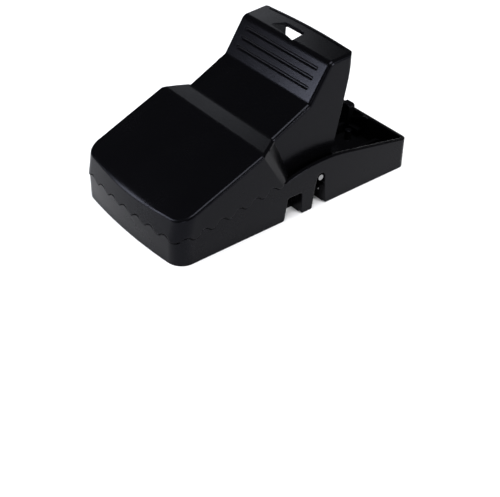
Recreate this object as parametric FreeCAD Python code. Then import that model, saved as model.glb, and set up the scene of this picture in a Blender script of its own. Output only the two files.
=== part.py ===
import FreeCAD, Part
import math
import os
from FreeCAD import Vector

# Press-to-set snap mouse trap, closed. Front faces -Y, +Z is up, the base rests on z = 0. Millimetres.

# Tray
length = 98.4
half_width = 26.7
wall = 1.5
bow_radius = 190.0
front_corner = 5.5
rear_corner = 2.6
floor_low = 0.8
floor_high = 2.3
front_y = -49.0
rear_y = front_y + length

# Serrated seam between tray and jaw
side_start = -45.7
side_end = -6.1
side_slope = 0.145
seam_height = 9.1
tooth_side = 3.3
side_tooth_height = 0.95
tooth_front = 3.4
front_tooth_height = 0.75
seam_gap = 0.4
dip_y = -4.7
dip_z = 14.7
hump = (9.0, 17.15)
shoulder = (23.0, 15.9)
rear_rim = 10.9

# Pivot
pin_y = 9.6
pin_z = 10.9
pin_radius = 1.0
pin_fit = 0.03
turn_fit = 0.05
slot_radius = 1.75
pad_inner = 24.2

# Jaw
lever_half = 22.2
jaw_wall = 1.5
nose = (-48.1, 15.4)
nose_radius = 4.0
crest_front = (-14.9, 29.0)
crest_back = (-7.4, 29.5)
panel_foot = (7.2, 36.6)
panel_head = (15.05, 48.6)
lip_end = (26.2, 49.4)
lip_corner = 24.7
lip_middle = 26.1
heel = (18.5, 18.2)
ear_radius = 7.0
hub_radius = 3.7
hub_half = 5.0
latch_reach = 11.2
latch_angle = 210.8

# Torsion springs
coil_radius = 3.1
wire = 0.9
turns = 10
spring_inner = 6.8
spring_outer = 18.4

# Pedal and bait cup
pedal_half = 17.4
pedal_thick = 1.4
pedal_front = (-40.2, 15.8)
pedal_rear = (-4.2, 19.0)
trunnion_y = -1.5
trunnion_z = 6.5
trunnion_radius = 1.5
cup_y = -24.3
cup_radius = 10.2
cup_high = 12.4
hole_radius = 9.6


def rounded_edges(points, place):
    """Edges of a closed outline whose corners (a, b, radius) are turned into tangent arcs."""
    ends = []
    count = len(points)
    for i in range(count):
        here = Vector(points[i][0], points[i][1], 0)
        before = Vector(points[i - 1][0], points[i - 1][1], 0)
        after = Vector(points[(i + 1) % count][0], points[(i + 1) % count][1], 0)
        radius = points[i][2] if len(points[i]) > 2 else 0
        to_before = (before - here).normalize()
        to_after = (after - here).normalize()
        half = to_before.getAngle(to_after) / 2
        if radius > 0 and abs(half - math.pi / 2) > 0.001:
            reach = radius / math.tan(half)
            centre = here + (to_before + to_after).normalize() * (radius / math.sin(half))
            mid = centre + (here - centre).normalize() * radius
            ends.append((here + to_before * reach, mid, here + to_after * reach))
        else:
            ends.append((here, None, here))
    edges = []
    for i in range(count):
        start, mid, stop = ends[i]
        if mid is not None:
            edges.append(Part.Arc(place(start), place(mid), place(stop)).toShape())
        nxt = ends[(i + 1) % count][0]
        if (nxt - stop).Length > 0.0001:
            edges.append(Part.makeLine(place(stop), place(nxt)))
    return edges


def side_solid(points, x0, x1):
    """Outline of (y, z, radius) corners, extruded along X from x0 to x1."""
    edges = rounded_edges(points, lambda p: Vector(x0, p.x, p.y))
    return Part.Face(Part.Wire(edges)).extrude(Vector(x1 - x0, 0, 0))


def plan_solid(points, z0, z1):
    """Outline of (x, y, radius) corners, extruded upwards from z0 to z1."""
    edges = rounded_edges(points, lambda p: Vector(p.x, p.y, z0))
    return Part.Face(Part.Wire(edges)).extrude(Vector(0, 0, z1 - z0))


def front_solid(points, y0, y1):
    """Outline of (x, z, radius) corners, extruded along Y from y0 to y1."""
    edges = rounded_edges(points, lambda p: Vector(p.x, y0, p.y))
    return Part.Face(Part.Wire(edges)).extrude(Vector(0, y1 - y0, 0))


def both_sides(piece):
    """The piece and its mirror image across the middle plane."""
    return [piece, piece.mirror(Vector(0, 0, 0), Vector(1, 0, 0))]


def box(x0, x1, y0, y1, z0, z1):
    return Part.makeBox(x1 - x0, y1 - y0, z1 - z0, Vector(x0, y0, z0))


def rod(radius, x0, x1, y, z):
    """Cylinder along X."""
    return Part.makeCylinder(radius, x1 - x0, Vector(x0, y, z), Vector(1, 0, 0))


def at_pin(reach, degrees):
    """Point (y, z) at a distance and angle from the pivot, the angle counted from +Y towards +Z."""
    angle = math.radians(degrees)
    return (pin_y + reach * math.cos(angle), pin_z + reach * math.sin(angle))


def outline(half, front, rear, r_front, r_rear, z, slant=0):
    """Plan outline with a bowed front edge and large front corners. The rear corners are rounded,
    or cut off straight over the length slant."""
    reach = bow_radius - r_front
    side = half - r_front
    drop = math.sqrt(reach * reach - side * side)
    corner_y = front + bow_radius - drop
    tx = side * bow_radius / reach
    ty = front + bow_radius - drop * bow_radius / reach
    turn = math.radians(-45 + math.degrees(math.asin(side / reach)) / 2)
    mx = side + r_front * math.cos(turn)
    my = corner_y + r_front * math.sin(turn)
    c = r_rear * (1 - math.sqrt(0.5))
    edges = []
    edges.append(Part.Arc(Vector(-tx, ty, z), Vector(0, front, z), Vector(tx, ty, z)).toShape())
    edges.append(Part.Arc(Vector(tx, ty, z), Vector(mx, my, z), Vector(half, corner_y, z)).toShape())
    back = rear - max(slant, r_rear)
    right = [Vector(half, back, z), Vector(half - c, rear - c, z), Vector(half - r_rear, rear, z)]
    left = [Vector(r_rear - half, rear, z), Vector(c - half, rear - c, z), Vector(-half, back, z)]
    edges.append(Part.makeLine(Vector(half, corner_y, z), right[0]))
    edges.append(Part.makeLine(right[0], right[2]) if slant else Part.Arc(*right).toShape())
    edges.append(Part.makeLine(right[2], left[0]))
    edges.append(Part.makeLine(left[0], left[2]) if slant else Part.Arc(*left).toShape())
    edges.append(Part.makeLine(left[2], Vector(-half, corner_y, z)))
    edges.append(Part.Arc(Vector(-half, corner_y, z), Vector(-mx, my, z), Vector(-tx, ty, z)).toShape())
    return Part.Wire(edges)


def tray_block(inset, z0, z1):
    """Block with the tray's plan outline, moved inwards by inset."""
    wire_low = outline(half_width - inset, front_y + inset, rear_y - inset,
                       front_corner - inset, rear_corner - inset, z0)
    return Part.Face(wire_low).extrude(Vector(0, 0, z1 - z0))


def wave(start, stop, step_count, first_bulge, place):
    """Row of arcs bulging alternately up and down along a straight mean line."""
    edges = []
    for i in range(step_count):
        a = start + (stop - start) * (i / step_count)
        b = start + (stop - start) * ((i + 1) / step_count)
        mid = (a + b) * 0.5
        mid.y = mid.y + (first_bulge if i % 2 == 0 else -first_bulge)
        edges.append(Part.Arc(place(a), place(mid), place(b)).toShape())
    return edges


def polyline(points, place):
    edges = []
    for a, b in zip(points, points[1:]):
        edges.append(Part.makeLine(place(a), place(b)))
    return edges


def side_region(lift, top):
    """Everything above the side rim, raised by lift, as a solid across the full width."""
    def place(p):
        return Vector(-30, p.x, p.y + lift)
    steps = round((side_end - side_start) / tooth_side)
    start = Vector(side_start, seam_height, 0)
    stop = Vector(side_end, seam_height + side_slope * (side_end - side_start), 0)
    dip = Vector(dip_y, dip_z, 0)
    end = Vector(rear_y, rear_rim, 0)
    edges = wave(start, stop, steps, side_tooth_height, place)
    edges.append(Part.makeLine(place(stop), place(dip)))
    edges.append(Part.Arc(place(dip), place(Vector(hump[0], hump[1], 0)),
                          place(Vector(shoulder[0], shoulder[1], 0))).toShape())
    edges += polyline([Vector(shoulder[0], shoulder[1], 0), end, Vector(60, rear_rim, 0), Vector(60, top, 0),
                       Vector(side_start, top, 0), start], place)
    return Part.Face(Part.Wire(edges)).extrude(Vector(60, 0, 0))


def front_region(lift, top):
    """Everything above the front rim, raised by lift, for the stretch ahead of the side teeth."""
    def place(p):
        return Vector(p.x, -60, p.y + lift)
    steps = 15
    edge = tooth_front * steps / 2
    start = Vector(-edge, seam_height, 0)
    stop = Vector(edge, seam_height, 0)
    edges = wave(start, stop, steps, -front_tooth_height, place)
    edges += polyline([stop, Vector(30, seam_height, 0), Vector(30, top, 0), Vector(-30, top, 0),
                       Vector(-30, seam_height, 0), start], place)
    return Part.Face(Part.Wire(edges)).extrude(Vector(0, 60 + side_start, 0))


def above_seam(lift, top):
    return side_region(lift, top).fuse(front_region(lift, top))


def fuse_all(shapes):
    whole = shapes[0].multiFuse(shapes[1:])
    return whole.removeSplitter()


def write(name, shape):
    if shape.ShapeType == "Compound" and len(shape.Solids) == 1:
        shape = shape.Solids[0]
    print(name, shape.isValid(), len(shape.Solids), round(shape.Volume), shape.BoundBox)
    shape.exportStep("parts/" + name + ".step")


def pin_slots(body, x0, x1):
    """Opens the side wall between x0 and x1 for the pin: a wide slot outside, a keyhole in the pad inside."""
    wall_inner = half_width - wall
    slot = side_solid([(pin_y - slot_radius, pin_z), (7.2, 8.0, 1.0), (6.2, 0, 0.9), (5.0, 0), (5.0, -1),
                       (13.5, -1), (13.5, 0), (12.0, 0, 0.9), (11.4, 8.0, 1.0), (pin_y + slot_radius, pin_z)],
                      wall_inner, x1)
    crown = rod(slot_radius, wall_inner, x1, pin_y, pin_z)
    neck = side_solid([(pin_y - 0.85, pin_z), (pin_y - 0.85, 9.9), (pin_y - 1.9, 7.9), (pin_y - 1.9, 4.0),
                       (pin_y + 1.9, 4.0), (pin_y + 1.9, 7.9), (pin_y + 0.85, 9.9), (pin_y + 0.85, pin_z)],
                      x0, x1)
    seat = rod(pin_radius + pin_fit, x0, x1, pin_y, pin_z)
    notch = side_solid([(-8.0, -1), (-8.0, 0), (-5.6, 0, 0.9), (-4.3, 8.4, 0.9), (1.7, 8.3, 0.8), (1.7, 0, 0.9),
                        (3.5, 0), (3.5, -1)], wall_inner, x1)
    tools = [slot, crown, neck, seat, notch]
    for tool in tools:
        for piece in both_sides(tool):
            body = body.cut(piece)
    return body


def base_tray():
    """Walls, floor pans ahead of and behind the pivot, cup collar, pedal bearings, webs and the rear lug."""
    shell = tray_block(0, 0, 24).cut(tray_block(wall, -1, 25))
    pan = tray_block(wall / 2, floor_low, floor_high)
    pivot_well = box(-30, 30, 2.5, 16.5, -1, 5)
    cup_hole = Part.makeCylinder(cup_radius + 0.3, 10, Vector(0, cup_y, -2))
    pan = pan.cut(pivot_well).cut(cup_hole)
    for well in both_sides(box(19.6, 30, -7, 5, -1, 5)):
        pan = pan.cut(well)
    collar = Part.makeCylinder(cup_radius + 1.6, 4.2, Vector(0, cup_y, floor_low))
    extras = [pan, collar.cut(cup_hole)]

    cheek = box(17.7, 19.5, -5.0, 2.0, floor_low, 9.2)
    cheek = cheek.makeFillet(1.8, [e for e in cheek.Edges
                                   if abs(e.BoundBox.ZMin - 9.2) < 0.01 and e.BoundBox.XLength > 1])
    cheek = cheek.cut(rod(trunnion_radius + turn_fit, 10, 30, trunnion_y, trunnion_z))
    ring = Part.makeCylinder(1.6, 0.5, Vector(11.6, -36.0, floor_high))
    ring = ring.cut(Part.makeCylinder(1.0, 2, Vector(11.6, -36.0, floor_high - 0.5)))
    wall_inner = half_width - wall
    pair = [cheek, ring]
    pair.append(box(13.4, 14.6, -46.8, -33.0, floor_low, 5.4))
    pair.append(box(13.0, 14.2, 18.0, 48.4, floor_low, 5.0))
    pair.append(box(17.0, 20.4, 23.5, 24.7, floor_low, 3.0))
    pair.append(box(20.4, 21.6, -7.2, 2.4, 0, 3.5))
    pair.append(box(20.4, wall_inner + 0.4, 1.7, 3.1, 0, 3.5))
    pair.append(box(23.4, wall_inner + 0.4, 1.7, 3.1, 0, 11.0))
    pair.append(box(17.7, wall_inner + 0.4, 12.0, 13.2, 0, 2.2))
    pair.append(box(23.4, wall_inner + 0.4, 12.0, 13.2, 0, 15.0))
    pair.append(box(pad_inner, wall_inner + 0.4, 6.4, 12.8, 7.9, 14.6))
    pair.append(box(17.7, 18.9, 12.0, 17.0, 0, 2.2))
    for piece in pair:
        extras += both_sides(piece)

    cross_rib = box(-wall_inner, wall_inner, 29.4, 30.6, floor_low, 4.4)
    low_bridge = box(-wall_inner, wall_inner, -8.2, -7.0, floor_low, 4.2)
    post = Part.makeCylinder(1.2, 5.4, Vector(4.4, 42.6, floor_low))
    lug_rib = box(-1.2, 0.0, 36.0, 48.4, floor_low, 6.0)
    shelf = box(1.2, 6.0, 45.6, 48.4, 4.7, 5.7)
    brace = front_solid([(1.0, 7.2), (1.0, 8.4), (7.6, 11.6), (9.6, 11.6)], 46.8, 48.4)
    extras += [cross_rib, low_bridge, post, lug_rib, shelf, brace]
    body = fuse_all([shell] + extras).cut(above_seam(0, 40))

    lug = front_solid([(-8.0, 4.0), (1.6, 4.0), (1.6, 13.7, 0.9), (-2.4, 13.7, 0.6), (-2.8, 12.7, 0.4),
                       (-8.0, 12.7, 0.8)], 45.0, 47.7)
    body = body.fuse(lug).removeSplitter()
    return pin_slots(body, pad_inner - 0.2, half_width + 1).removeSplitter()


def jaw_profile(offset):
    """Side outline of the jaw's roof, neck and handle, moved inwards by offset."""
    roof_angle = math.atan2(crest_front[1] - nose[1], crest_front[0] - nose[0])
    panel_angle = math.atan2(panel_head[1] - panel_foot[1], panel_head[0] - panel_foot[0])
    down = offset / math.cos(roof_angle)
    nose_y = nose[0] + offset
    nose_z = nose[1] + offset * math.tan(roof_angle) - down
    back = offset / math.sin(panel_angle)
    return [(nose_y - 2.6, 4.0), (nose_y, nose_z, nose_radius - offset),
            (crest_front[0], crest_front[1] - down * 0.98, 5.0 - offset),
            (crest_back[0] + offset * 0.2, crest_back[1] - offset * 1.05, 5.0 + offset),
            (panel_foot[0] + back * 0.62, panel_foot[1] - offset * 0.75, 1.6 + offset),
            (panel_head[0] + back * 0.62, panel_head[1] - offset, 2.8 - offset)]


def visor_block(inset):
    """Tapered block with the jaw's plan outline. Its rear end leans forward, and the rounding of the
    rear corners runs out upwards into a straight cut."""
    low = 7.0
    high = 31.0
    r_front = front_corner - inset
    r_rear = 4.7 - inset
    wires = []
    for z, half, front, rear, slant in ((low, half_width + 0.2, front_y - 0.6, 2.5, 0),
                                        (high, half_width + 0.7, front_y + 4.2, -8.3, 8.6)):
        wires.append(outline(half - inset, front + inset, rear - inset, r_front, r_rear, z, slant))
    return Part.makeLoft(wires, True, True)


def lip_plan(inset):
    """Everything ahead of the lip's bowed rear edge, moved forwards by inset."""
    half = lever_half + 0.001
    side = 40.0
    head = plan_solid([(-half, 0), (half, 0), (half, lip_corner - inset, 2.2), (0, lip_middle - inset, 200.0),
                       (-half, lip_corner - inset, 2.2)], 30, 60)
    return head.fuse(box(-side, side, -60, 2, 0, 60)).fuse(box(-side, side, 0, 40, 0, 31))


def upper_jaw():
    """Serrated visor, neck, ribbed handle, ears and hub on the pivot, latch hook and inner ribs."""
    outer = jaw_profile(0)
    inner = jaw_profile(jaw_wall)
    end = (lip_end[0], lip_end[1])
    body = side_solid(outer + [(lip_end[0], lip_end[1], 0.5), (lip_end[0], end[1] - jaw_wall),
                               (lip_corner - 0.2, end[1] - jaw_wall), (heel[0], heel[1], 1.5), (-12, 18.2),
                               (-12, 4.0)], -lever_half, lever_half)
    lever_zone = side_solid([(crest_front[0] + 1, 18.2), (crest_front[0] + 1, 60), (40, 60), (40, 18.2)], -40, 40)
    lever = body.common(lever_zone)
    lever = lever.makeFillet(1.3, [e for e in lever.Edges
                                   if e.BoundBox.XLength < 0.01 and e.CenterOfMass.z > 30
                                   and e.CenterOfMass.y > -6 and e.CenterOfMass.y < 25.4
                                   and (e.CenterOfMass.y < 18 or e.CenterOfMass.z > 48.5)
                                   and abs(abs(e.CenterOfMass.x) - lever_half) < 0.01])
    visor_zone = side_solid(outer[:4] + [(6, outer[3][1] + 6.0), (6, 4.0)], -40, 40)
    visor = visor_block(0).common(visor_zone)
    visor = visor.makeFillet(1.0, [e for e in visor.Edges
                                   if e.BoundBox.ZMin > 13.5 and e.BoundBox.YMax < -10.5
                                   and not (e.BoundBox.YLength < 0.01 and e.CenterOfMass.y > -20)])
    shell = visor.fuse(lever)

    hollow_roof = side_solid(inner + [(60, end[1] - jaw_wall), (60, 4.0)], -40, 40)
    visor_hollow = visor_block(jaw_wall).common(hollow_roof)
    lever_hollow = side_solid(inner + [(60, end[1] - jaw_wall), (60, -5), (-40, -5)],
                              -lever_half + jaw_wall, lever_half - jaw_wall)
    lever_hollow = lever_hollow.common(box(-40, 40, -16, 70, -5, 70))
    shell = shell.cut(visor_hollow).cut(lever_hollow)
    shell = shell.common(above_seam(seam_gap, 80)).common(lip_plan(0))

    extras = []
    ear_low = pin_z - ear_radius
    ear = side_solid([(-3.0, 20.0), (-2.6, 14.0), (3.2, ear_low, 3.5), (14.6, ear_low, 5.0), (17.4, 14.0),
                      (17.8, 20.0)], lever_half - jaw_wall, lever_half)
    boss = rod(3.0, 19.6, 23.0, pin_y, pin_z)
    rib = side_solid([(-34.0, 17.6), (-34.0, 20.4), (-12.5, 28.2), (-7.5, 28.3), (-7.5, 22.5)], 11.4, 12.6)
    panel_rib = side_solid([(9.0, 33.0), (9.0, 36.4), (17.0, 48.2), (20.0, 48.4), (20.0, 46.0), (12.5, 33.0)],
                           10.4, 11.6)
    for piece in (ear, boss, rib, panel_rib):
        extras += both_sides(piece)
    cross_web = side_solid([(4.2, 25.0), (4.2, 35.0), (5.7, 35.6), (5.7, 25.0)], -lever_half + 0.5, lever_half - 0.5)
    front_web = side_solid([(-12.6, 24.6), (-12.6, 28.6), (-11.2, 28.6), (-11.2, 24.6)], -25.4, 25.4)
    spine = side_solid([(-9.5, 20.0), (-12.0, 28.3), (-7.5, 28.4), (8.3, 35.7), (11.8, 40.5), (13.2, 40.0),
                        (13.0, 12.0), (6.2, 12.0), (4.0, 18.0)], -0.8, 0.8)
    hub = rod(hub_radius, -hub_half, hub_half, pin_y, pin_z)
    heel_a = at_pin(hub_radius - 0.4, latch_angle - 55)
    tip_a = at_pin(latch_reach, latch_angle - 4)
    tip_b = at_pin(latch_reach, latch_angle + 4)
    heel_b = at_pin(hub_radius - 0.4, latch_angle + 55)
    hook = side_solid([(heel_a[0], heel_a[1]), (tip_a[0], tip_a[1], 0.4), (tip_b[0], tip_b[1], 0.4),
                       (heel_b[0], heel_b[1])], -2.2, 2.2)
    extras += [cross_web, front_web, spine, hub, hook]
    jaw = fuse_all([shell] + extras)
    jaw = jaw.cut(rod(pin_radius + turn_fit, -30, 30, pin_y, pin_z))

    run = math.atan2(panel_head[1] - panel_foot[1], panel_head[0] - panel_foot[0])
    along = Vector(0, math.cos(run), math.sin(run))
    out = Vector(0, -math.sin(run), math.cos(run))
    foot = Vector(0, panel_foot[0], panel_foot[1])
    for height in (4.0, 7.35, 10.7):
        middle = foot + along * height + out * 0.1
        groove = Part.makeCylinder(0.65, 35.2, middle - Vector(17.6, 0, 0), Vector(1, 0, 0))
        for x in (-17.6, 17.6):
            groove = groove.fuse(Part.makeSphere(0.65, middle + Vector(x, 0, 0)))
        jaw = jaw.cut(groove)
    lip_groove = lip_plan(0.75).cut(lip_plan(1.3)).common(box(-18.6, 18.6, 20.0, 30.0, 48.9, 51.0))
    hang_hole = plan_solid([(-7.1, 21.4, 0.4), (2.2, 21.4, 0.4), (2.9, 15.6, 0.4), (-1.3, 16.3, 0.4)], 40, 60)
    pocket = plan_solid([(-10.4, 17.4, 0.8), (-7.4, 21.7, 0.8), (0.5, 21.7, 0.8), (-0.4, 16.6, 0.8)], 48.65, 60)
    recess = box(-9.0, 9.0, 16.2, 22.6, 44.0, 47.95)
    jaw = jaw.cut(lip_groove).cut(pocket).cut(recess).cut(hang_hole)
    return jaw.removeSplitter()


def torsion_spring(side):
    """Close-wound coil about the pivot axis, with a straight leg to the floor pan and one up into the jaw."""
    span = spring_outer - spring_inner
    start = math.radians(180)
    sweep = turns + (360 - 180 - 105) / 360
    helix = Part.makeHelix(span / sweep, span, coil_radius)
    section = Part.Wire(Part.makeCircle(wire / 2, Vector(coil_radius, 0, 0), Vector(0, 1, 0)))
    coil = Part.Wire(helix.Edges).makePipeShell([section], True, True)
    place = FreeCAD.Matrix(0, 0, 1, 0, 1, 0, 0, 0, 0, 1, 0, 0, 0, 0, 0, 1)
    coil.rotate(Vector(0, 0, 0), Vector(0, 0, 1), math.degrees(start))
    coil = coil.transformGeometry(place)
    coil.translate(Vector(spring_inner, pin_y, pin_z))
    up_start = Vector(spring_inner, pin_y - coil_radius, pin_z)
    up_leg = Part.makeCylinder(wire / 2, 17.0, up_start, Vector(0, 0, 1))
    up_end = Part.makeSphere(wire / 2, up_start + Vector(0, 0, 17.0))
    joint_up = Part.makeSphere(wire / 2, up_start)
    low = at_pin(coil_radius, -105)
    low_start = Vector(spring_outer, low[0], low[1])
    low_way = Vector(0, math.cos(math.radians(-15)), math.sin(math.radians(-15)))
    low_leg = Part.makeCylinder(wire / 2, 17.5, low_start, low_way)
    low_end = Part.makeSphere(wire / 2, low_start + low_way * 17.5)
    joint_low = Part.makeSphere(wire / 2, low_start)
    whole = coil.multiFuse([up_leg, up_end, joint_up, low_leg, low_end, joint_low])
    if side < 0:
        whole = whole.mirror(Vector(0, 0, 0), Vector(1, 0, 0))
    return whole


def trigger_pedal():
    """Sloping plate with a round hole, two side arms with trunnions and a catch tooth at the rear."""
    run = math.atan2(pedal_rear[1] - pedal_front[1], pedal_rear[0] - pedal_front[0])
    size = math.hypot(pedal_rear[0] - pedal_front[0], pedal_rear[1] - pedal_front[1])
    cut = 3.2
    plate = plan_solid([(-pedal_half, 0, 4.0), (pedal_half, 0, 4.0), (pedal_half, size - cut, 1.0),
                        (pedal_half - cut, size, 1.0), (cut - pedal_half, size, 1.0),
                        (-pedal_half, size - cut, 1.0)], -pedal_thick, 0)
    plate = plate.makeFillet(0.35, [e for e in plate.Edges if e.BoundBox.ZLength < 0.01 and e.BoundBox.ZMin > -0.01])
    centre = (cup_y - pedal_front[0]) / math.cos(run)
    plate = plate.cut(Part.makeCylinder(hole_radius, 10, Vector(0, centre, -5)))
    plate.rotate(Vector(0, 0, 0), Vector(1, 0, 0), math.degrees(run))
    plate.translate(Vector(0, pedal_front[0], pedal_front[1]))
    pieces = [plate]
    for side in (-1, 1):
        arm = side_solid([(-12.6, 17.2), (-11.0, 8.0, 2.0), (-4.0, 4.0, 2.4), (1.0, 4.2, 2.4), (0.6, 9.0, 1.0),
                          (-5.4, 18.0)], 15.6, 17.2)
        trunnion = rod(trunnion_radius, 16.4, 19.5, trunnion_y, trunnion_z)
        for piece in (arm, trunnion):
            pieces.append(piece if side > 0 else piece.mirror(Vector(0, 0, 0), Vector(1, 0, 0)))
    edge = at_pin(latch_reach - 0.35, 149.4)
    lead = at_pin(latch_reach + 0.3, 152.5)
    outer = at_pin(13.6, 149.4)
    tooth = side_solid([(edge[0], edge[1], 0.15), (lead[0], lead[1]), (-3.4, 14.4), (-5.4, 14.6), (-6.4, 17.9),
                        (-4.8, 18.4), (outer[0], outer[1], 0.4)], -3.2, 3.2)
    bridge = box(-15.8, 15.8, -6.0, -4.6, 13.0, 17.6)
    pieces += [tooth, bridge]
    return fuse_all(pieces)


def bait_cup():
    """Open-topped cup with a flange under the tray's floor and a finger notch in the flange."""
    low = 0.3
    body = Part.makeCylinder(cup_radius, cup_high - low, Vector(0, cup_y, low))
    flange = Part.makeCylinder(cup_radius + 2.4, floor_low - 0.05 - low, Vector(0, cup_y, low))
    hollow = Part.makeCylinder(cup_radius - 1.1, 20, Vector(0, cup_y, low + 1.3))
    finger = Part.makeCylinder(2.2, 2, Vector(0, cup_y - cup_radius - 2.8, low - 1))
    cup = body.fuse(flange).cut(hollow).cut(finger)
    return cup.removeSplitter()


write("base_tray", base_tray())
write("upper_jaw", upper_jaw())
write("pivot_pin", rod(pin_radius, 0.1 - half_width, half_width - 0.1, pin_y, pin_z))
write("torsion_spring_right", torsion_spring(1))
write("torsion_spring_left", torsion_spring(-1))
write("trigger_pedal", trigger_pedal())
write("bait_cup", bait_cup())
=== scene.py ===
import math
import bpy
from mathutils import Matrix, Vector


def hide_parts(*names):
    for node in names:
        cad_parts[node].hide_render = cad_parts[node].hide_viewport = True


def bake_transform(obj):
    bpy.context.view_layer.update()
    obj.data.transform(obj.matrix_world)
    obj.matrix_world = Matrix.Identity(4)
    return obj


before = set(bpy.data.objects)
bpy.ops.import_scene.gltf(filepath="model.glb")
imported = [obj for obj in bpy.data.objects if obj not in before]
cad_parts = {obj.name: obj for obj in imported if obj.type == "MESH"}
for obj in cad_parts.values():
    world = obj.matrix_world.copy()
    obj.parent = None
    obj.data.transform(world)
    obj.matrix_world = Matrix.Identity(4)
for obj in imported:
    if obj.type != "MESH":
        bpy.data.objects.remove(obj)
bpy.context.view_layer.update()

# Lengths are in metres and powers in watts, unless a name says otherwise.


def add_object(name, data):
    obj = bpy.data.objects.new(name, data)
    bpy.context.scene.collection.objects.link(obj)
    return obj


def look_along(way):
    """Rotation that points a light's beam along a direction."""
    return way.to_track_quat("-Z", "Y").to_euler()


# Materials

PATCH_SCALE = 55.0
GRAIN_SHARE = 0.45
GRAIN_DEPTH = 0.0001
BEVEL_SAMPLES = 6
STREAK_SCALE = 900.0
STREAK_BUMP = 0.15
STREAK_DEPTH = 0.00004
SMOOTHER = 0.07
ROUGHER = 0.09


def socket(node, name, value):
    node.inputs[name].default_value = value


def new_material(name, colour):
    """A node material with its colour set: the material, its nodes, its links and its shader."""
    mat = bpy.data.materials.new(name)
    mat.use_nodes = True
    nodes = mat.node_tree.nodes
    shader = nodes["Principled BSDF"]
    socket(shader, "Base Color", (*colour, 1.0))
    return mat, nodes, mat.node_tree.links, shader


def noise(nodes, scale, detail):
    texture = nodes.new("ShaderNodeTexNoise")
    socket(texture, "Scale", scale)
    socket(texture, "Detail", detail)
    return texture


def map_range(nodes, from_min, from_max, to_min, to_max):
    ramp = nodes.new("ShaderNodeMapRange")
    socket(ramp, "From Min", from_min)
    socket(ramp, "From Max", from_max)
    socket(ramp, "To Min", to_min)
    socket(ramp, "To Max", to_max)
    return ramp


def bump_node(nodes, strength, distance):
    relief = nodes.new("ShaderNodeBump")
    socket(relief, "Strength", strength)
    socket(relief, "Distance", distance)
    return relief


def plastic(name, colour, rough, spread, grain, bump, specular, tint=(1, 1, 1), edge=0.0):
    """Moulded plastic: fine grain in the roughness and the surface, soft broad patches, softened edges."""
    mat, nodes, links, shader = new_material(name, colour)
    socket(shader, "Specular IOR Level", specular)
    socket(shader, "Specular Tint", (*tint, 1.0))
    where = nodes.new("ShaderNodeTexCoord")
    fine = noise(nodes, grain, 4.0)
    broad = noise(nodes, PATCH_SCALE, 2.0)
    both = nodes.new("ShaderNodeMath")
    both.operation = "MULTIPLY_ADD"
    socket(both, 1, GRAIN_SHARE)
    ramp = map_range(nodes, 0.35, 1.05, rough - spread, rough + spread)
    relief = bump_node(nodes, bump, GRAIN_DEPTH)
    links.new(where.outputs["Object"], fine.inputs["Vector"])
    links.new(where.outputs["Object"], broad.inputs["Vector"])
    links.new(fine.outputs["Fac"], both.inputs[0])
    links.new(broad.outputs["Fac"], both.inputs[2])
    links.new(both.outputs[0], ramp.inputs["Value"])
    links.new(ramp.outputs["Result"], shader.inputs["Roughness"])
    links.new(fine.outputs["Fac"], relief.inputs["Height"])
    links.new(relief.outputs["Normal"], shader.inputs["Normal"])
    if edge > 0:
        soft = nodes.new("ShaderNodeBevel")
        soft.samples = BEVEL_SAMPLES
        socket(soft, "Radius", edge)
        links.new(soft.outputs["Normal"], relief.inputs["Normal"])
    return mat


def steel(name, colour, rough, stretch):
    """Drawn wire: bright metal with fine streaks along its length."""
    mat, nodes, links, shader = new_material(name, colour)
    socket(shader, "Metallic", 1.0)
    where = nodes.new("ShaderNodeTexCoord")
    mapping = nodes.new("ShaderNodeMapping")
    socket(mapping, "Scale", stretch)
    streaks = noise(nodes, STREAK_SCALE, 3.0)
    ramp = map_range(nodes, 0.3, 0.7, rough - SMOOTHER, rough + ROUGHER)
    relief = bump_node(nodes, STREAK_BUMP, STREAK_DEPTH)
    links.new(where.outputs["Object"], mapping.inputs["Vector"])
    links.new(mapping.outputs["Vector"], streaks.inputs["Vector"])
    links.new(streaks.outputs["Fac"], ramp.inputs["Value"])
    links.new(ramp.outputs["Result"], shader.inputs["Roughness"])
    links.new(streaks.outputs["Fac"], relief.inputs["Height"])
    links.new(relief.outputs["Normal"], shader.inputs["Normal"])
    return mat


COOL = (0.80, 0.82, 1.0)
wire_metal = steel("wire_metal", (0.72, 0.72, 0.73), rough=0.22, stretch=(1.0, 1.0, 0.2))
paper = plastic("paper", (0.86, 0.86, 0.87), rough=0.75, spread=0.05, grain=300.0, bump=0.05, specular=0.2)
finish = {
    "base_tray": plastic("black_moulding", (0.0014, 0.0014, 0.0017), rough=0.26, spread=0.05, grain=1600.0,
                         bump=0.10, specular=0.08, tint=COOL, edge=0.0005),
    "upper_jaw": plastic("black_jaw_moulding", (0.0013, 0.0013, 0.0016), rough=0.24, spread=0.05, grain=1500.0,
                         bump=0.09, specular=0.08, tint=COOL, edge=0.0003),
    "trigger_pedal": plastic("pedal_moulding", (0.0060, 0.0056, 0.0058), rough=0.36, spread=0.06, grain=1300.0,
                             bump=0.16, specular=0.30, edge=0.0002),
    "bait_cup": plastic("cup_moulding", (0.0160, 0.0085, 0.0075), rough=0.40, spread=0.06, grain=1300.0,
                        bump=0.16, specular=0.30, edge=0.0002),
    "pivot_pin": steel("pin_metal", (0.231, 0.231, 0.234), rough=0.26, stretch=(0.05, 1.0, 1.0)),
}
for node, mat in finish.items():
    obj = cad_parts[node]
    obj.data.materials.clear()
    obj.data.materials.append(mat)


# Springs

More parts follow.
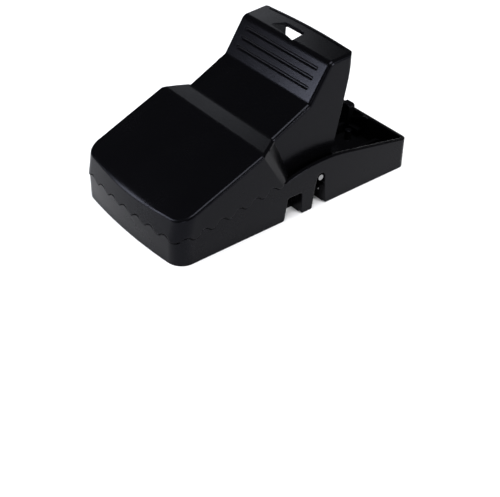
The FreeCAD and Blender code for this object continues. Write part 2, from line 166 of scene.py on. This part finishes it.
PIN = Vector((0, 0.0096, 0.0109))
COIL_RADIUS = 0.0031
WIRE_RADIUS = 0.00045
WIRE_SIDES = 12
DOME = 0.5
INNER = 0.0068
OUTER = 0.0184
TURNS = 10 + 75 / 360
COIL_STEPS = 360
START_ANGLE = math.radians(180)
JAW_LEG = 0.0170
JAW_LEG_STEPS = 24
TRAY_LEG = 0.0175
TRAY_LEG_STEPS = 18
TRAY_LEG_ANGLE = math.radians(-15)


def sweep(path, radius, sides):
    """Round wire along a list of points: vertices and faces, with closed, domed ends."""
    verts = []
    faces = []
    count = len(path)
    normal = Vector((1, 0, 0))
    for i, point in enumerate(path):
        ahead = (path[min(i + 1, count - 1)] - path[max(i - 1, 0)]).normalized()
        normal = (normal - ahead * normal.dot(ahead)).normalized()
        other = ahead.cross(normal)
        for k in range(sides):
            turn = 2 * math.pi * k / sides
            verts.append(point + (normal * math.cos(turn) + other * math.sin(turn)) * radius)
    for i in range(count - 1):
        for k in range(sides):
            a = i * sides + k
            b = i * sides + (k + 1) % sides
            faces.append((a, b, b + sides, a + sides))
    for end, way in ((0, path[0] - path[1]), (count - 1, path[-1] - path[-2])):
        verts.append(path[end] + way.normalized() * radius * DOME)
        tip = len(verts) - 1
        for k in range(sides):
            a = end * sides + k
            b = end * sides + (k + 1) % sides
            faces.append((b, a, tip) if end == 0 else (a, b, tip))
    return verts, faces


def spring(name, side):
    """Coil round the pin, wound as one wire with its two legs. It twists between the tray and the jaw."""
    path = []
    for i in range(JAW_LEG_STEPS):
        path.append(PIN + Vector((side * INNER, -COIL_RADIUS, JAW_LEG * (1 - i / JAW_LEG_STEPS))))
    for i in range(COIL_STEPS + 1):
        t = i / COIL_STEPS
        angle = START_ANGLE + 2 * math.pi * TURNS * t
        across = side * (INNER + (OUTER - INNER) * t)
        path.append(PIN + Vector((across, COIL_RADIUS * math.cos(angle), COIL_RADIUS * math.sin(angle))))
    way = Vector((0, math.cos(TRAY_LEG_ANGLE), math.sin(TRAY_LEG_ANGLE)))
    last = path[-1]
    for i in range(1, TRAY_LEG_STEPS + 1):
        path.append(last + way * (TRAY_LEG * i / TRAY_LEG_STEPS))
    verts, faces = sweep(path, WIRE_RADIUS, WIRE_SIDES)
    mesh = bpy.data.meshes.new(name)
    mesh.from_pydata(verts, [], faces)
    mesh.polygons.foreach_set("use_smooth", [True] * len(faces))
    mesh.materials.append(wire_metal)
    return add_object(name, mesh)


for name, side in (("spring_right", 1), ("spring_left", -1)):
    obj = spring(name, side)
    node = "torsion_" + name
    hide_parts(node)
    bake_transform(obj)


# Floor and lights

FLOOR_HALF = 20.0
MIDDLE = (0, 0, 0.02)
PANEL = (0.018, 0.011, 0.042)
BLUISH = (0.90, 0.92, 1.0)
PALE = (0.92, 0.95, 1.0)

sheet = bpy.data.meshes.new("floor")
corners = [(-FLOOR_HALF, -FLOOR_HALF, 0), (FLOOR_HALF, -FLOOR_HALF, 0),
           (FLOOR_HALF, FLOOR_HALF, 0), (-FLOOR_HALF, FLOOR_HALF, 0)]
sheet.from_pydata(corners, [], [(0, 1, 2, 3)])
sheet.materials.append(paper)
floor = add_object("floor", sheet)


def softbox(name, place, width, height, power, colour=(1, 1, 1), aim=MIDDLE):
    data = bpy.data.lights.new(name, "AREA")
    data.shape = "RECTANGLE"
    data.size = width
    data.size_y = height
    data.energy = power
    data.color = colour
    obj = add_object(name, data)
    obj.location = place
    obj.rotation_euler = look_along(Vector(aim) - Vector(place))


overhead = add_object("overhead", bpy.data.lights.new("overhead", "SUN"))
overhead.data.energy = 3.75
overhead.data.angle = math.radians(36)
overhead.rotation_euler = look_along(Vector((-0.10, 0.05, -1.10)))

softbox("front_left", (-0.62, -0.84, 0.22), width=0.22, height=0.34, power=2.0, colour=BLUISH)
softbox("near_left", (-0.125, -0.172, 0.135), width=0.04, height=0.12, power=0.36, colour=(0.88, 0.91, 1.0),
        aim=PANEL)
softbox("back_left", (-0.72, 0.48, 0.50), width=0.18, height=0.26, power=0.30, colour=PALE)
softbox("right", (0.81, 0.30, 0.34), width=0.15, height=0.34, power=5.0)
softbox("front_right", (0.62, -0.84, 0.22), width=0.22, height=0.34, power=2.0, colour=BLUISH)
softbox("back_right", (0.72, 0.48, 0.50), width=0.18, height=0.26, power=0.5, colour=PALE)

world = bpy.data.worlds.new("studio")
world.use_nodes = True
background = world.node_tree.nodes["Background"]
socket(background, "Color", (0.035, 0.036, 0.040, 1))
socket(background, "Strength", 1.0)
bpy.context.scene.world = world


# Camera

AZIMUTH = math.radians(50.93)
ELEVATION = math.radians(37.696)
ROLL = math.radians(-1.04)
TARGET = Vector((0.045863, 0.013827 - 0.049, 0.014539))
DISTANCE = 0.305283
LENS_MM = 75.648
SENSOR_MM = 36.0

back = Vector((
    math.sin(AZIMUTH) * math.cos(ELEVATION),
    -math.cos(AZIMUTH) * math.cos(ELEVATION),
    math.sin(ELEVATION),
))
right = Vector((math.cos(AZIMUTH), math.sin(AZIMUTH), 0))
up = back.cross(right)
cam_x = right * math.cos(ROLL) - up * math.sin(ROLL)
cam_y = right * math.sin(ROLL) + up * math.cos(ROLL)
place = TARGET + back * DISTANCE
camera = add_object("camera", bpy.data.cameras.new("camera"))
camera.data.lens = LENS_MM
camera.data.sensor_width = SENSOR_MM
camera.data.clip_start = 0.01
camera.data.clip_end = 20
camera.matrix_world = Matrix((
    (cam_x.x, cam_y.x, back.x, place.x),
    (cam_x.y, cam_y.y, back.y, place.y),
    (cam_x.z, cam_y.z, back.z, place.z),
    (0, 0, 0, 1),
))
bpy.context.scene.camera = camera
bpy.context.scene.view_settings.view_transform = "Standard"
